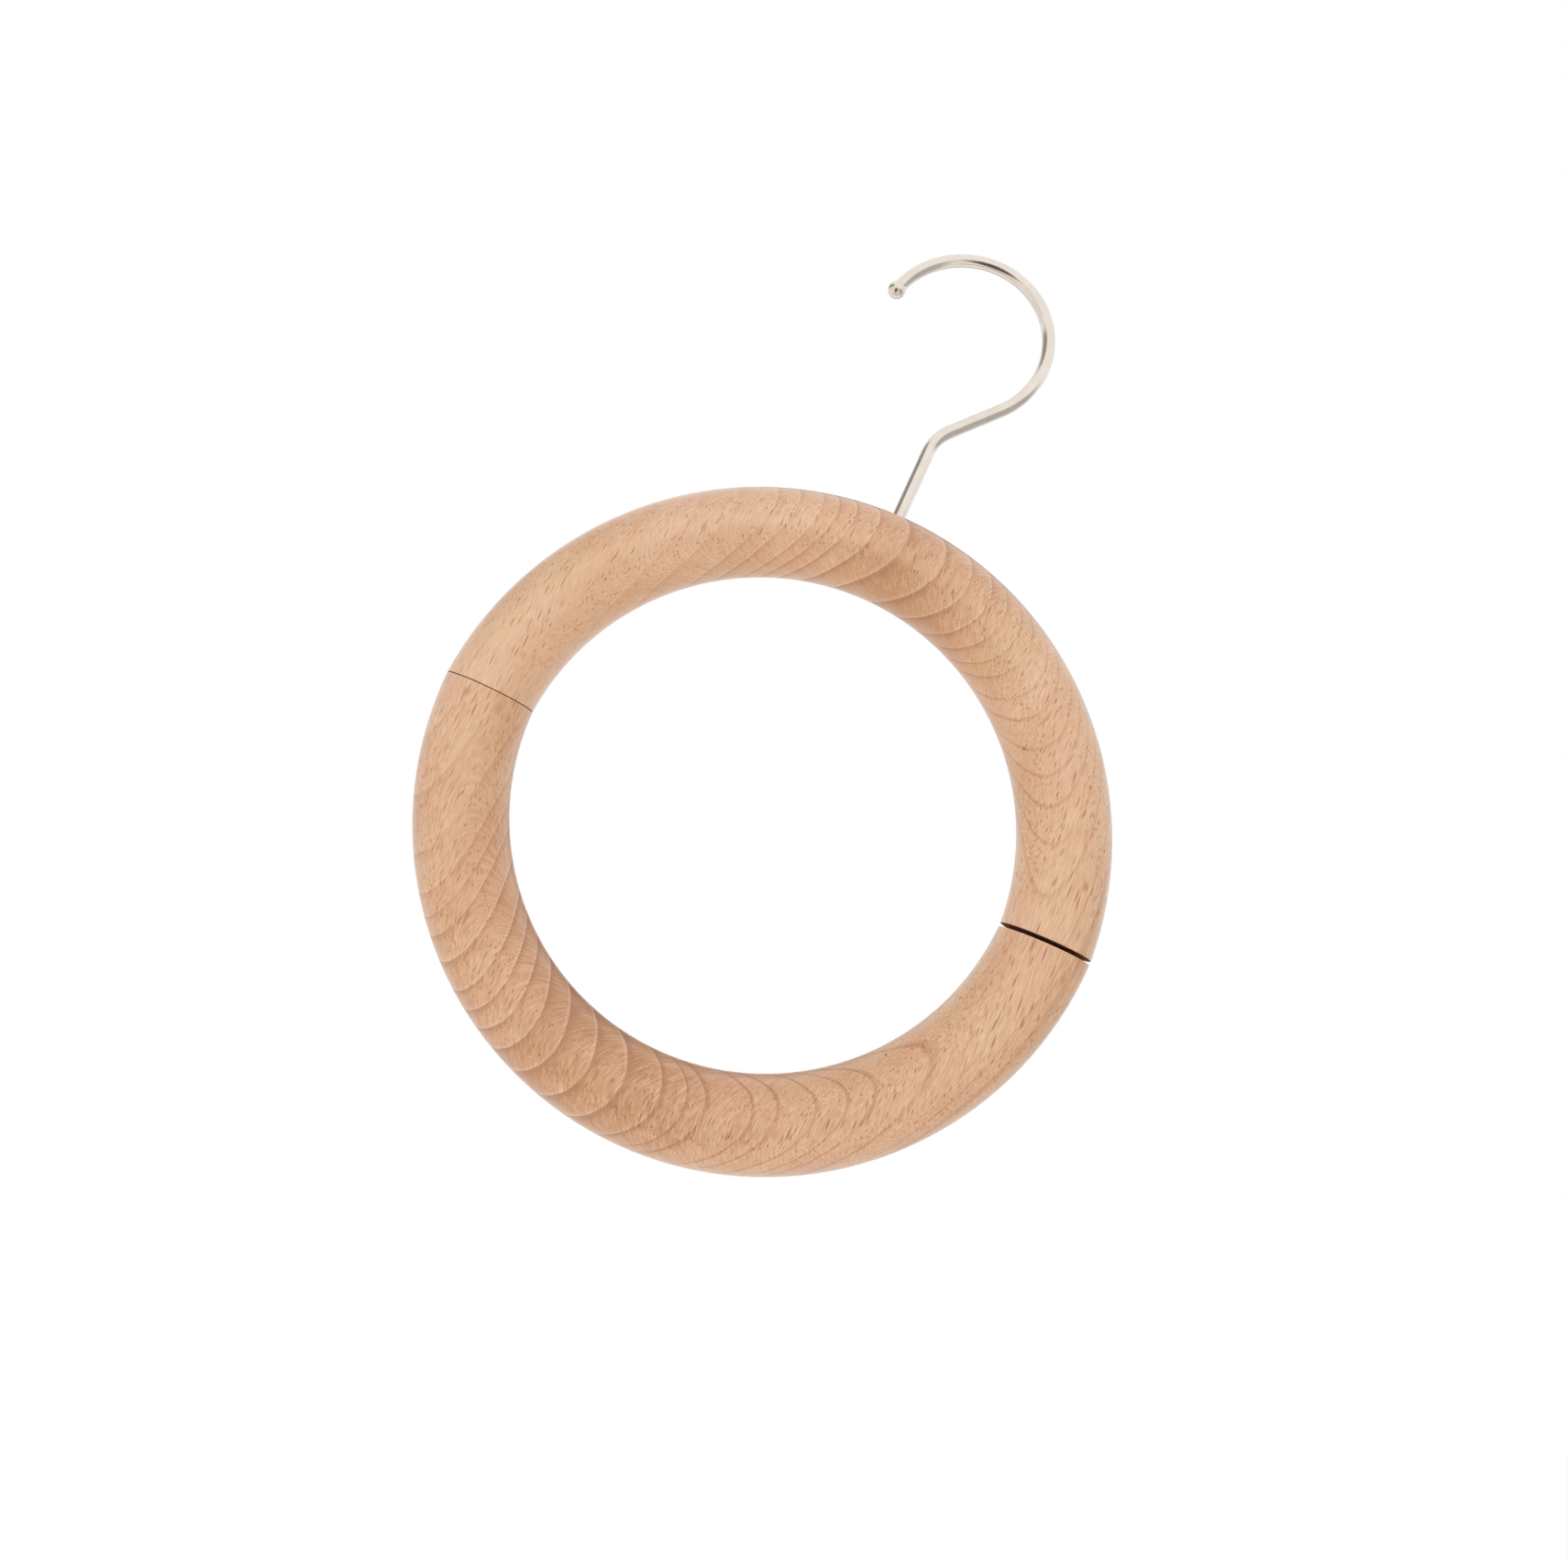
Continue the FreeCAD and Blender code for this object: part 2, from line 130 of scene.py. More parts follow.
def beech(name, growth_ends, contrast, tones, rib_strength, dark_patches):
    """The beech of one half: where its years end, how strongly they show, and how pale it is."""
    material = bpy.data.materials.new(name)
    material.use_nodes = True
    tree = material.node_tree
    shader = tree.nodes["Principled BSDF"]
    place = add(tree, "TexCoord")

    # Distance from the heart in millimetres, a little wavy
    from_heart = add(tree, "Mapping", {"Vector": place.outputs["Object"], "Location": HEART,
                     "Rotation": (0, HEART_LEAN, 0), "Scale": (MM, MM, MM)}, vector_type="TEXTURE")
    across = add(tree, "VectorMath", [from_heart.outputs[0], (1, 1, 0)], operation="MULTIPLY")
    depth = add(tree, "VectorMath", [across.outputs[0]], operation="LENGTH")
    along = add(tree, "VectorMath", [from_heart.outputs[0], WAVE_ALONG], operation="MULTIPLY")
    wave = add(tree, "TexNoise", {"Vector": along.outputs[0], "Scale": 1 / WAVE, "Detail": 3.0,
               "Roughness": 0.45})
    sway = add(tree, "Math", [wave.outputs["Fac"], *SWAY], operation="MULTIPLY_ADD")
    wavy = add(tree, "Math", [depth.outputs["Value"], sway.outputs[0]], operation="ADD")
    share = add(tree, "MapRange", [wavy.outputs[0], NEAREST_WOOD, FURTHEST_WOOD])

    # Years of growth: the curve climbs by one step in each year
    ends = [NEAREST_WOOD, *growth_ends, FURTHEST_WOOD]
    years = add(tree, "FloatCurve", {"Value": share.outputs[0]})
    curve = years.mapping.curves[0]
    while len(curve.points) < len(ends):
        curve.points.new(0.5, 0.5)
    for i, end in enumerate(ends):
        curve.points[i].location = ((end - NEAREST_WOOD) / WOOD_DEPTH, i / (len(ends) - 1))
        curve.points[i].handle_type = "VECTOR"
    years.mapping.update()
    count = add(tree, "Math", [years.outputs[0], float(len(ends) - 1)], operation="MULTIPLY")
    season = add(tree, "Math", [count.outputs[0]], operation="FRACT")
    scallop = add(tree, "ValToRGB", [season.outputs[0]], stops=SCALLOP)
    line = add(tree, "ValToRGB", [season.outputs[0]], stops=LINE)
    far_out = add(tree, "MapRange", [depth.outputs["Value"], *LINE_TO_SCALLOP])
    late = add(tree, "Mix", {0: far_out.outputs[0], 2: line.outputs[0], 3: scallop.outputs[0]})
    strength = add(tree, "ValToRGB", [share.outputs[0]],
                   stops=[((at - NEAREST_WOOD) / WOOD_DEPTH, value) for at, value in contrast])
    base = add(tree, "ValToRGB", [share.outputs[0]],
               stops=[((at - NEAREST_WOOD) / WOOD_DEPTH, value) for at, value in tones])
    growth = add(tree, "Math", [late.outputs[0], MID_YEAR], operation="SUBTRACT")
    growth = add(tree, "Math", [growth.outputs[0], strength.outputs[0]], operation="MULTIPLY")

    # Cut across the fibres: stronger bands
    level = add(tree, "VectorMath", [place.outputs["Normal"], (0, 0, 1)], operation="DOT_PRODUCT")
    end_grain = add(tree, "Math", [level.outputs["Value"]], operation="ABSOLUTE")
    boost = add(tree, "Math", [end_grain.outputs[0], *BANDS_ACROSS], operation="MULTIPLY_ADD")
    growth = add(tree, "Math", [growth.outputs[0], boost.outputs[0]], operation="MULTIPLY")

    # The grain's own directions: towards the heart, round it and along the trunk, in millimetres
    upright = add(tree, "Mapping", {"Vector": place.outputs["Object"], "Location": HEART,
                  "Scale": (MM, MM, MM)}, vector_type="TEXTURE")
    spot = add(tree, "SeparateXYZ", [upright.outputs[0]])
    slope = add(tree, "Math", [spot.outputs[0], spot.outputs[1]], operation="DIVIDE")
    round_it = add(tree, "Math", [slope.outputs[0], HEART_BEHIND], operation="MULTIPLY")
    wander = add(tree, "Math", [wave.outputs["Fac"], RIB_WANDER, round_it.outputs[0]],
                 operation="MULTIPLY_ADD")
    grain = add(tree, "CombineXYZ", [depth.outputs["Value"], wander.outputs[0], spot.outputs[2]])

    # Rays: thin ribbons that point at the heart, cut as fine ribs, and fading where they lie in the surface
    inwards = add(tree, "VectorMath", [upright.outputs[0], (1, 1, 0)], operation="MULTIPLY")
    inwards = add(tree, "VectorMath", [inwards.outputs[0]], operation="NORMALIZE")
    sideways = add(tree, "VectorMath", [(0, 0, 1), inwards.outputs[0]], operation="CROSS_PRODUCT")
    lying = add(tree, "VectorMath", [sideways.outputs[0], place.outputs["Normal"]],
                operation="DOT_PRODUCT")
    lying = add(tree, "Math", [lying.outputs["Value"]], operation="ABSOLUTE")
    cut = add(tree, "MapRange", [lying.outputs[0], *RIB_LYING])
    rib_place = add(tree, "VectorMath", [grain.outputs[0], RIB], operation="DIVIDE")
    ribs = add(tree, "TexNoise", {"Vector": rib_place.outputs[0], "Scale": 1.0, "Detail": 2.0,
               "Roughness": 0.55})
    rib_tone = add(tree, "Math", [ribs.outputs["Fac"], NOISE_MIDDLE], operation="SUBTRACT")
    rib_tone = add(tree, "Math", [rib_tone.outputs[0], cut.outputs[0]], operation="MULTIPLY")
    calm = add(tree, "MapRange", [depth.outputs["Value"], *RIB_BY_DEPTH])
    rib_tone = add(tree, "Math", [rib_tone.outputs[0], calm.outputs[0]], operation="MULTIPLY")

    # Fibres: fine streaks along the trunk, clearest near the heart
    fibre_place = add(tree, "VectorMath", [upright.outputs[0], FIBRE], operation="DIVIDE")
    fibres = add(tree, "TexNoise", {"Vector": fibre_place.outputs[0], "Scale": 1.0, "Detail": 1.0})
    fibre_tone = add(tree, "Math", [fibres.outputs["Fac"], NOISE_MIDDLE], operation="SUBTRACT")
    clear = add(tree, "MapRange", [depth.outputs["Value"], *FIBRE_BY_DEPTH])
    fibre_tone = add(tree, "Math", [fibre_tone.outputs[0], clear.outputs[0]], operation="MULTIPLY")

    # Mottling: slow changes of tone
    mottle = add(tree, "TexNoise", {"Vector": along.outputs[0], "Scale": 1 / MOTTLE, "Detail": 3.0})
    mottle_tone = add(tree, "Math", [mottle.outputs["Fac"], NOISE_MIDDLE], operation="SUBTRACT")

    # Sum of the tones, from dark to pale, with the darker patches, and the wood's colour at that tone
    tone = add(tree, "Math", [growth.outputs[0], LATE_TONE, base.outputs[0]], operation="MULTIPLY_ADD")
    tone = add(tree, "Math", [rib_tone.outputs[0], rib_strength, tone.outputs[0]],
               operation="MULTIPLY_ADD")
    tone = add(tree, "Math", [tone.outputs[0], fibre_tone.outputs[0]], operation="ADD")
    tone = add(tree, "Math", [mottle_tone.outputs[0], MOTTLE_TONE, tone.outputs[0]],
               operation="MULTIPLY_ADD")
    tone = add(tree, "Math", [end_grain.outputs[0], TONE_ACROSS, tone.outputs[0]],
               operation="MULTIPLY_ADD")
    # Darker patches: each darkens the tone round its middle, fading out over its reach
    for middle, reach, darkness in dark_patches:
        apart = add(tree, "VectorMath", [place.outputs["Object"], middle], operation="DISTANCE")
        patch_darkening = add(tree, "MapRange", [apart.outputs["Value"], 0.0, reach, -darkness, 0.0],
                    interpolation_type="SMOOTHSTEP")
        tone = add(tree, "Math", [tone.outputs[0], patch_darkening.outputs[0]], operation="ADD")
    wood = add(tree, "ValToRGB", [tone.outputs[0]], stops=WOOD)
    drift = add(tree, "SeparateColor", [mottle.outputs["Color"]])
    hue = add(tree, "MapRange", [drift.outputs[1], *MOTTLE_HUE])
    wood = add(tree, "HueSaturation", {"Hue": hue.outputs[0], "Color": wood.outputs[0]})

    # Pores: short dark needles along the fibres, many faint and some strong, in broken lines
    bent = add(tree, "CombineXYZ", [wave.outputs["Fac"]])
    bent = add(tree, "VectorMath", [bent.outputs[0], [PORE_BEND] * 3, upright.outputs[0]],
               operation="MULTIPLY_ADD")
    pore_place = add(tree, "VectorMath", [bent.outputs[0], PORE], operation="DIVIDE")
    pores = add(tree, "TexVoronoi", {"Vector": pore_place.outputs[0], "Scale": 1.0, "Randomness": 1.0},
                voronoi_dimensions="3D", feature="F1")
    finer = add(tree, "MapRange", [depth.outputs["Value"], *PORE_BY_DEPTH])
    edge = add(tree, "Math", [pores.outputs["Distance"], finer.outputs[0]], operation="MULTIPLY")
    needle = add(tree, "MapRange", [edge.outputs[0], *NEEDLE], interpolation_type="SMOOTHSTEP")
    chance = add(tree, "SeparateColor", [pores.outputs["Color"]])
    thread_place = add(tree, "VectorMath", [grain.outputs[0], THREAD], operation="DIVIDE")
    threads = add(tree, "TexNoise", {"Vector": thread_place.outputs[0], "Scale": 1.0, "Detail": 1.0})
    luck = add(tree, "Math", [threads.outputs["Fac"], THREAD_LUCK, chance.outputs[0]],
               operation="MULTIPLY_ADD")
    kept = add(tree, "MapRange", [luck.outputs[0], *PORES_KEPT])
    dash = add(tree, "Math", [needle.outputs[0], kept.outputs[0]], operation="MULTIPLY")
    closed = add(tree, "MapRange", [end_grain.outputs[0], *PORES_ACROSS])
    dash = add(tree, "Math", [dash.outputs[0], closed.outputs[0]], operation="MULTIPLY")

    # Pin knots: two tiny dark spots
    for knot in KNOTS:
        apart = add(tree, "VectorMath", [place.outputs["Object"], knot], operation="DISTANCE")
        dark = add(tree, "MapRange", [apart.outputs["Value"], *KNOT])
        dash = add(tree, "Math", [dash.outputs[0], dark.outputs[0]], operation="MAXIMUM")
    flecked = add(tree, "Mix", {0: dash.outputs[0], 6: wood.outputs[0], 7: PORE_BROWN}, data_type="RGBA")

    # Sawn ends: the same rings, darkened brown with painted shade for the narrow gap between the halves
    height = add(tree, "SeparateXYZ", [place.outputs["Object"]])
    near_cut = add(tree, "Math", [height.outputs[2], SAW_CUT, SAW_REACH], operation="COMPARE")
    flat = add(tree, "Math", [end_grain.outputs[0], SAWN_LEVEL], operation="GREATER_THAN")
    sawn = add(tree, "Math", [near_cut.outputs[0], flat.outputs[0]], operation="MULTIPLY")
    gap_shaded = add(tree, "Mix", {0: sawn.outputs[0], 6: flecked.outputs[2], 7: GAP_SHADE_BROWN},
                  data_type="RGBA", blend_type="MULTIPLY")
    tree.links.new(gap_shaded.outputs[2], shader.inputs["Base Color"])

    # Lacquer: matt, a little uneven over the ribs, sunk in the pores, and none on the sawn ends
    rough = add(tree, "MapRange", [ribs.outputs["Fac"], 0.0, 1.0, *LACQUER_ROUGHNESS])
    rough = add(tree, "Math", [rough.outputs[0], sawn.outputs[0]], operation="MAXIMUM")
    tree.links.new(rough.outputs[0], shader.inputs["Roughness"])
    lacquer = add(tree, "Math", [1.0, sawn.outputs[0]], operation="SUBTRACT")
    tree.links.new(lacquer.outputs[0], shader.inputs["Coat Weight"])
    surface = add(tree, "Math", [dash.outputs[0], PORE_SINK, ribs.outputs["Fac"]], operation="MULTIPLY_ADD")
    relief = add(tree, "Bump", {"Height": surface.outputs[0], "Strength": RELIEF_STRENGTH,
                 "Distance": RELIEF})
    tree.links.new(relief.outputs[0], shader.inputs["Normal"])
    shader.inputs["IOR"].default_value = LACQUER_IOR
    shader.inputs["Coat Roughness"].default_value = COAT_ROUGHNESS
    return material


# This half's years, by their ends in mm from the heart, then their strength and its tone by depth
UPPER_GROWTH_ENDS = [134.6, 138.0, 142.6, 145.2, 148.0, 150.8, 153.8, 158.0, 161.4, 165.6, 168.4, 171.8,
                     175.6, 180.5, 186.6, 195.2, 201.6, 206.4, 210.0, 213.2, 217.8, 222.0, 229.0, 234.8,
                     243.0, 250.0]
UPPER_CONTRAST = [(128, 0.6), (140, 0.85), (150, 0.7), (160, 0.55), (175, 0.55), (190, 0.68), (200, 0.66),
                  (212, 0.55), (222, 0.4), (235, 0.15), (256, 0.1)]
UPPER_TONES = [(128, 0.7), (150, 0.7), (160, 0.76), (170, 0.68), (190, 0.64), (205, 0.72), (220, 0.76),
               (256, 0.7)]
UPPER_RIBS = 1.0
# A darker patch round the underside of the top of the ring, below the hook
UPPER_DARK_PATCHES = [((11.6 * MM, -5.1 * MM, -100.7 * MM), 28 * MM, 0.2)]      # middle, reach and darkness
upper_beech = beech("beech_upper_half", UPPER_GROWTH_ENDS, UPPER_CONTRAST, UPPER_TONES, UPPER_RIBS,
                    UPPER_DARK_PATCHES)
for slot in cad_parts["upper_ring_half"].material_slots:
    slot.material = upper_beech


# Lower ring half: the lower half of the same turned beech ring, its free end cut a little shorter.
# It hangs from the pivot pin at its left end and swings open sideways.

# This half's years, strength and tone, in the same way
LOWER_GROWTH_ENDS = [133.9, 136.7, 141.9, 145.7, 147.9, 150.7, 154.5, 157.3, 163.7, 166.3, 170.3, 176.7,
                     183.1, 189.7, 195.5, 200.3, 204.7, 209.1, 214.9, 219.9, 223.5, 227.3, 233.7, 241.7,
                     248.7]
LOWER_CONTRAST = [(128, 0.5), (140, 0.75), (150, 0.85), (163, 0.75), (175, 0.85), (190, 0.95), (205, 0.9),
                  (220, 0.65), (235, 0.4), (256, 0.25)]
LOWER_TONES = [(128, 0.62), (150, 0.66), (165, 0.51), (185, 0.37), (205, 0.52), (220, 0.58), (256, 0.6)]
LOWER_RIBS = 1.5
lower_beech = beech("beech_lower_half", LOWER_GROWTH_ENDS, LOWER_CONTRAST, LOWER_TONES, LOWER_RIBS, [])
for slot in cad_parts["lower_ring_half"].material_slots:
    slot.material = lower_beech


# Hook sleeve: a split insert, moulded in nylon and glued into the top of the upper half, a little
# below the wood. The hook's foot snaps into it and turns in it.

# Natural nylon, moulded: milky, uncoloured and faintly cloudy, with a fine dull grain from the mould.
# The mould grain is drawn coarser than a real one, so that it shows.
CLOUD = 2.5 * MM
MOULD_GRAIN = 0.25 * MM
MILKY = [(0.3, linear("#D9CDB6")), (0.7, linear("#E6DCC8"))]
NYLON_IOR = 1.53
NYLON_ROUGHNESS = (0.4, 0.6)
MOULD_RELIEF = 0.02 * MM
MOULD_RELIEF_STRENGTH = 0.3
nylon = bpy.data.materials.new("natural_nylon_moulded")
nylon.use_nodes = True
tree = nylon.node_tree
shader = tree.nodes["Principled BSDF"]
place = add(tree, "TexCoord")
cloud = add(tree, "TexNoise", {"Vector": place.outputs["Object"], "Scale": 1 / CLOUD, "Detail": 3.0})
milky = add(tree, "ValToRGB", [cloud.outputs["Fac"]], stops=MILKY)
tree.links.new(milky.outputs[0], shader.inputs["Base Color"])
mould_grain = add(tree, "TexNoise", {"Vector": place.outputs["Object"], "Scale": 1 / MOULD_GRAIN})
rough = add(tree, "MapRange", [mould_grain.outputs["Fac"], 0.0, 1.0, *NYLON_ROUGHNESS])
tree.links.new(rough.outputs[0], shader.inputs["Roughness"])
relief = add(tree, "Bump", {"Height": mould_grain.outputs["Fac"], "Strength": MOULD_RELIEF_STRENGTH,
             "Distance": MOULD_RELIEF})
tree.links.new(relief.outputs[0], shader.inputs["Normal"])
shader.inputs["IOR"].default_value = NYLON_IOR
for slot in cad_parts["hook_sleeve"].material_slots:
    slot.material = nylon


# Hook: one length of drawn steel wire, bent to a stem, a slanting shank and a round loop,
# with a ball upset on its tip. It is plated with bright, slightly warm nickel.

# Nickel plate on drawn wire: pale champagne metal that mirrors the white studio, a little soft.
# The fine unevenness that the die leaves is made coarser than a real one, so that it shows.
PLATE_PATCH = 4.0 * MM
DRAWN_GRAIN = 0.6 * MM
CHAMPAGNE = [(0.3, linear("#E7DBCF")), (0.7, linear("#EEE4DA"))]
NICKEL_ROUGHNESS = (0.12, 0.2)
DRAWN_RELIEF = 0.01 * MM
DRAWN_RELIEF_STRENGTH = 0.08
nickel = bpy.data.materials.new("bright_nickel_on_wire")
nickel.use_nodes = True
tree = nickel.node_tree
shader = tree.nodes["Principled BSDF"]
place = add(tree, "TexCoord")
plate = add(tree, "TexNoise", {"Vector": place.outputs["Object"], "Scale": 1 / PLATE_PATCH, "Detail": 4.0})
champagne = add(tree, "ValToRGB", [plate.outputs["Fac"]], stops=CHAMPAGNE)
tree.links.new(champagne.outputs[0], shader.inputs["Base Color"])
shader.inputs["Metallic"].default_value = 1.0
drawn = add(tree, "TexNoise", {"Vector": place.outputs["Object"], "Scale": 1 / DRAWN_GRAIN, "Detail": 2.0})
rough = add(tree, "MapRange", [drawn.outputs["Fac"], 0.0, 1.0, *NICKEL_ROUGHNESS])
tree.links.new(rough.outputs[0], shader.inputs["Roughness"])
relief = add(tree, "Bump", {"Height": drawn.outputs["Fac"], "Strength": DRAWN_RELIEF_STRENGTH,
             "Distance": DRAWN_RELIEF})
tree.links.new(relief.outputs[0], shader.inputs["Normal"])
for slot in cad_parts["hook"].material_slots:
    slot.material = nickel


# Pivot pin: a turned steel pin, glued upright into the left end of the upper half.
# Its beaded foot stands out below the saw cut.

# Turned steel: grey, with fine rings from the tool round the pin.
TOOL_MARK = (8.0 * MM, 8.0 * MM, 0.12 * MM)     # across the pin, twice, and along it
STEEL_GREY = [(0.3, linear("#A9A8A6")), (0.7, linear("#C4C3C1"))]
STEEL_ROUGHNESS = (0.24, 0.38)
TOOL_RELIEF = 0.01 * MM
TOOL_RELIEF_STRENGTH = 0.2
steel = bpy.data.materials.new("turned_steel")
steel.use_nodes = True
tree = steel.node_tree
shader = tree.nodes["Principled BSDF"]
place = add(tree, "TexCoord")
rings = add(tree, "Mapping", {"Vector": place.outputs["Object"], "Scale": TOOL_MARK}, vector_type="TEXTURE")
tool_marks = add(tree, "TexNoise", {"Vector": rings.outputs[0], "Scale": 1.0, "Detail": 2.0})
grey = add(tree, "ValToRGB", [tool_marks.outputs["Fac"]], stops=STEEL_GREY)
tree.links.new(grey.outputs[0], shader.inputs["Base Color"])
shader.inputs["Metallic"].default_value = 1.0
rough = add(tree, "MapRange", [tool_marks.outputs["Fac"], 0.0, 1.0, *STEEL_ROUGHNESS])
tree.links.new(rough.outputs[0], shader.inputs["Roughness"])
relief = add(tree, "Bump", {"Height": tool_marks.outputs["Fac"], "Strength": TOOL_RELIEF_STRENGTH,
             "Distance": TOOL_RELIEF})
tree.links.new(relief.outputs[0], shader.inputs["Normal"])
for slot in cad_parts["pivot_pin"].material_slots:
    slot.material = steel


# Pivot sleeve: the same kind of nylon insert, glued into the left end of the lower half.
# The pin's foot snaps into it, so that the lower half hangs and turns on the pin.

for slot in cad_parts["pivot_sleeve"].material_slots:
    slot.material = nylon


# Catch magnets: two pressed ferrite discs, glued into the right ends of both halves.
# They sit a little below the wood and hold the ring shut.

# Ferrite, pressed and ground: near-black ceramic with a dull, faintly grainy face.
# The grit is drawn coarser than a real one, so that it shows.
GRIT = 0.3 * MM
CHARCOAL = [(0.3, linear("#262524")), (0.7, linear("#35332F"))]
FERRITE_ROUGHNESS = (0.5, 0.75)
GRIT_RELIEF = 0.02 * MM
GRIT_RELIEF_STRENGTH = 0.3
ferrite = bpy.data.materials.new("ground_ferrite")
ferrite.use_nodes = True
tree = ferrite.node_tree
shader = tree.nodes["Principled BSDF"]
place = add(tree, "TexCoord")
grit = add(tree, "TexNoise", {"Vector": place.outputs["Object"], "Scale": 1 / GRIT, "Detail": 4.0})
charcoal = add(tree, "ValToRGB", [grit.outputs["Fac"]], stops=CHARCOAL)
tree.links.new(charcoal.outputs[0], shader.inputs["Base Color"])
rough = add(tree, "MapRange", [grit.outputs["Fac"], 0.0, 1.0, *FERRITE_ROUGHNESS])
tree.links.new(rough.outputs[0], shader.inputs["Roughness"])
relief = add(tree, "Bump", {"Height": grit.outputs["Fac"], "Strength": GRIT_RELIEF_STRENGTH,
             "Distance": GRIT_RELIEF})
tree.links.new(relief.outputs[0], shader.inputs["Normal"])
for name in ("upper_magnet", "lower_magnet"):
    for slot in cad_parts[name].material_slots:
        slot.material = ferrite


# Floor: a plain pale studio floor, well below the hanging ring.
# To the eye it is as white as the room, and it keeps the ring's soft shadow.

FLOOR_Z = -0.75                     # metres
FLOOR_SIDE = 12.0
FLOOR_PAINT = linear("#E4E2DF")
FLOOR_GLOW = 0.35                   # what the floor lacks to be white, in the room's light alone
FLOOR_GLOW_NEAR = 0.3               # the same below the hanger, where the lamps light it too
LAMPS_REACH = (0.5, 1.0)            # metres from the middle, over which the lamps' light fades
FLOOR_GLOSS = 0.2                   # glow in reflections, where the floor stays a little grey
GLOW_WHITE = linear("#F7FAFF")
bpy.ops.mesh.primitive_plane_add(size=FLOOR_SIDE, location=(0, 0, FLOOR_Z))
floor = bpy.context.object
floor.name = "studio_floor"
pale = bpy.data.materials.new("pale_floor")
pale.use_nodes = True
tree = pale.node_tree
tree.nodes.remove(tree.nodes["Principled BSDF"])
rays = add(tree, "LightPath")
seen = add(tree, "Math", [rays.outputs["Is Camera Ray"], rays.outputs["Is Transmission Ray"]],
           operation="MAXIMUM")
mirrored = add(tree, "Math", [rays.outputs["Is Glossy Ray"], FLOOR_GLOSS], operation="MULTIPLY")
place = add(tree, "TexCoord")
outwards = add(tree, "VectorMath", [place.outputs["Object"]], operation="LENGTH")
lack = add(tree, "MapRange", [outwards.outputs["Value"], *LAMPS_REACH, FLOOR_GLOW_NEAR, FLOOR_GLOW])
lift = add(tree, "Math", [seen.outputs[0], lack.outputs[0], mirrored.outputs[0]], operation="MULTIPLY_ADD")
matt = add(tree, "BsdfDiffuse", {"Color": FLOOR_PAINT})
glow = add(tree, "Emission", {"Color": GLOW_WHITE, "Strength": lift.outputs[0]})
both = add(tree, "AddShader", [matt.outputs[0], glow.outputs[0]])
tree.links.new(both.outputs[0], tree.nodes["Material Output"].inputs["Surface"])
floor.data.materials.append(pale)


# World: the white studio room round the hanger.
# It is plain white to the eye and in reflections, and gives a little less light to the object.

WHITE = (1, 1, 1, 1)
WORLD_LIGHT = 0.88
world = bpy.data.worlds.new("white_studio")
bpy.context.scene.world = world
world.use_nodes = True
tree = world.node_tree
tree.nodes.remove(tree.nodes["Background"])
rays = add(tree, "LightPath")
seen = add(tree, "Math", [rays.outputs["Is Camera Ray"], rays.outputs["Is Glossy Ray"]],
           operation="MAXIMUM")
seen = add(tree, "Math", [seen.outputs[0], rays.outputs["Is Transmission Ray"]], operation="MAXIMUM")
soft = add(tree, "Background", {"Color": WHITE, "Strength": WORLD_LIGHT})
white = add(tree, "Background", {"Color": WHITE, "Strength": 1.0})
both = add(tree, "MixShader", [seen.outputs[0], soft.outputs[0], white.outputs[0]])
tree.links.new(both.outputs[0], tree.nodes["World Output"].inputs["Surface"])


# Lamps: a large soft panel in front, a smaller one low in front, turned up at the ring, and a large
# one behind. They stay out of reflections, so that the wire mirrors only the white room and the cards.

RING_MIDDLE = Vector((0, 0, -0.15))
PANELS = (("front_panel", Vector((-0.2, -1.1, -0.3)), 1.7, 0.9),        # place, watts and side in metres
          ("low_panel", Vector((0, -0.45, -0.66)), 0.55, 0.4),
          ("back_panel", Vector((0.1, 0.9, -0.15)), 1.8, 0.9))
for name, at, power, side in PANELS:
    lamp = bpy.data.lights.new(name, "AREA")
    lamp.energy = power
    lamp.size = side
    panel = bpy.data.objects.new(name, lamp)
    panel.location = at
    panel.rotation_euler = (RING_MIDDLE - at).to_track_quat("-Z", "Y").to_euler()
    panel.visible_glossy = False
    panel.visible_camera = False
    bpy.context.scene.collection.objects.link(panel)


# Cards: grey studio cards round the hook, with soft edges, seen only in reflections.
# They draw the soft dark lines along the bright wire.

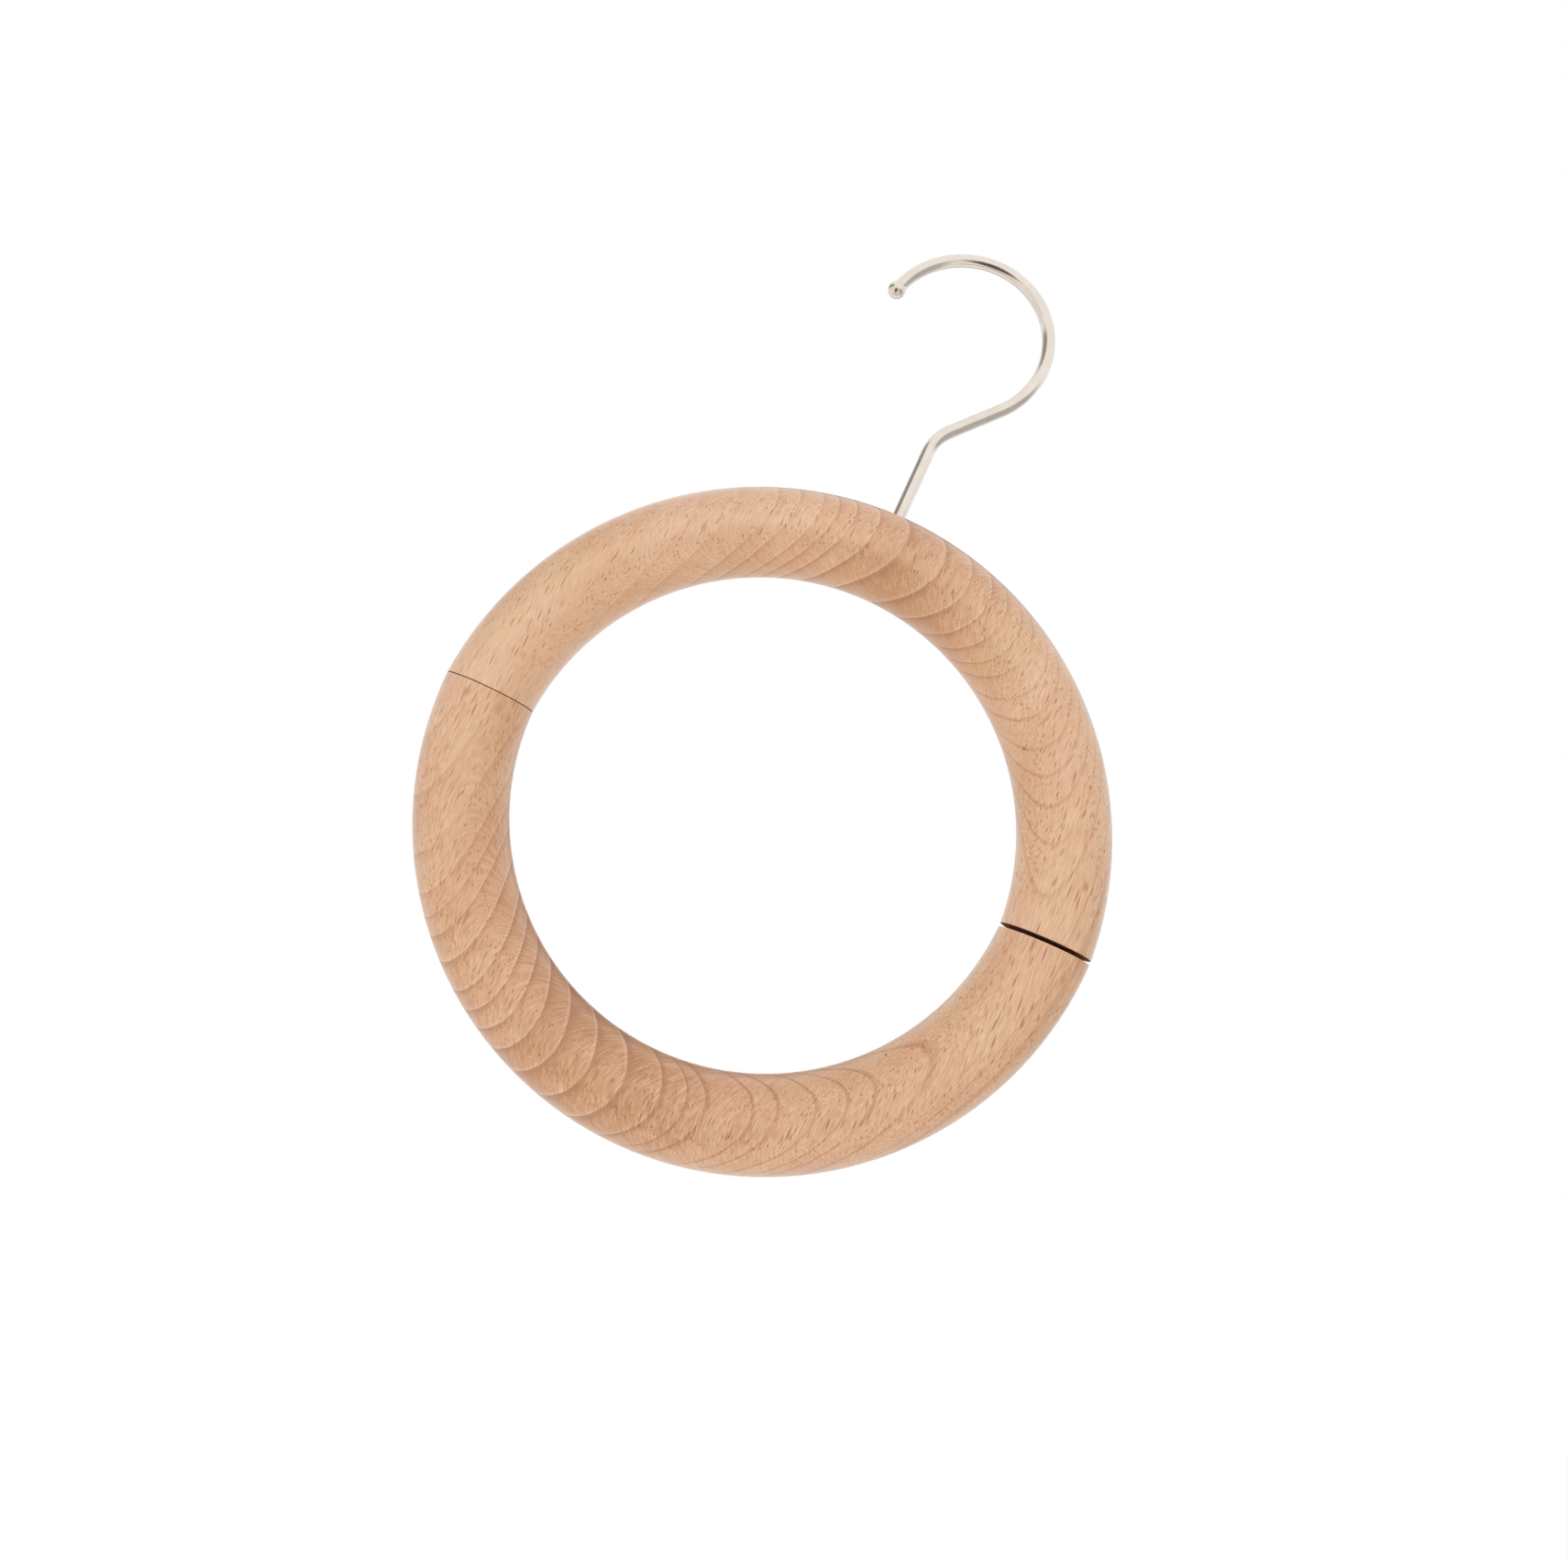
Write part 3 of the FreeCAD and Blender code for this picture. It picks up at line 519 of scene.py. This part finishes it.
HOOK_MIDDLE = Vector((0, 0, -0.03))
CARD_AWAY = 0.6                     # metres
CARD_FADE = (0.25, 0.5)             # from the card's middle, as a share of its sides
CARDS = (("left_card", -85, 16, 1.40, 0.46, "#A0A0A0"),         # degrees from the front and up, metres
         ("front_card", -2, -36, 0.56, 0.95, "#5C5C5C"),
         ("right_card", 78, -12, 2.10, 0.80, "#C2C2C2"),
         ("back_card", 180, 20, 0.60, 0.70, "#707070"))
for name, turn, rise, width, height, grey in CARDS:
    cloth = bpy.data.materials.new(name + "_cloth")
    cloth.use_nodes = True
    tree = cloth.node_tree
    tree.nodes.remove(tree.nodes["Principled BSDF"])
    place = add(tree, "TexCoord")
    outwards = add(tree, "VectorMath", [place.outputs["Object"]], operation="LENGTH")
    fade = add(tree, "MapRange", [outwards.outputs["Value"], *CARD_FADE], interpolation_type="SMOOTHSTEP")
    matt = add(tree, "BsdfDiffuse", {"Color": linear(grey)})
    clear = add(tree, "BsdfTransparent")
    both = add(tree, "MixShader", [fade.outputs[0], matt.outputs[0], clear.outputs[0]])
    tree.links.new(both.outputs[0], tree.nodes["Material Output"].inputs["Surface"])
    turn = math.radians(turn)
    rise = math.radians(rise)
    towards = Vector((math.sin(turn) * math.cos(rise), -math.cos(turn) * math.cos(rise), math.sin(rise)))
    facing = towards.to_track_quat("Z", "Y").to_euler()
    bpy.ops.mesh.primitive_plane_add(size=1, location=HOOK_MIDDLE + towards * CARD_AWAY, rotation=facing)
    card = bpy.context.object
    card.name = name
    card.scale = (width, height, 1)
    card.data.materials.append(cloth)
    for ray in ("camera", "diffuse", "transmission", "volume_scatter", "shadow"):
        setattr(card, "visible_" + ray, False)


# Camera: a short distance in front of the ring, a little below its middle, looking up and
# rolled, so that the hanger leans to the right in the picture.

LENS = 28.705                       # mm
SENSOR = 36.0                       # mm
SHIFT = (-0.00248, -0.04831)        # share of the picture's width
NEAREST_SEEN = 10 * MM
CAMERA_AT = (17.71 * MM, -319.4 * MM, -193.53 * MM)
TURN = math.radians(4.173)
LOOK_UP = math.radians(10.134)
ROLL = math.radians(24.651)
camera_data = bpy.data.cameras.new("photo_camera")
camera_data.lens = LENS
camera_data.sensor_width = SENSOR
camera_data.sensor_fit = "HORIZONTAL"
camera_data.shift_x = SHIFT[0]
camera_data.shift_y = SHIFT[1]
camera_data.clip_start = NEAREST_SEEN
camera = bpy.data.objects.new("photo_camera", camera_data)
turned = (Matrix.Rotation(TURN, 4, "Z") @ Matrix.Rotation(math.radians(90) + LOOK_UP, 4, "X")
          @ Matrix.Rotation(ROLL, 4, "Z"))
camera.matrix_world = Matrix.Translation(CAMERA_AT) @ turned
bpy.context.scene.collection.objects.link(camera)
bpy.context.scene.camera = camera
bpy.context.scene.view_settings.view_transform = "Standard"
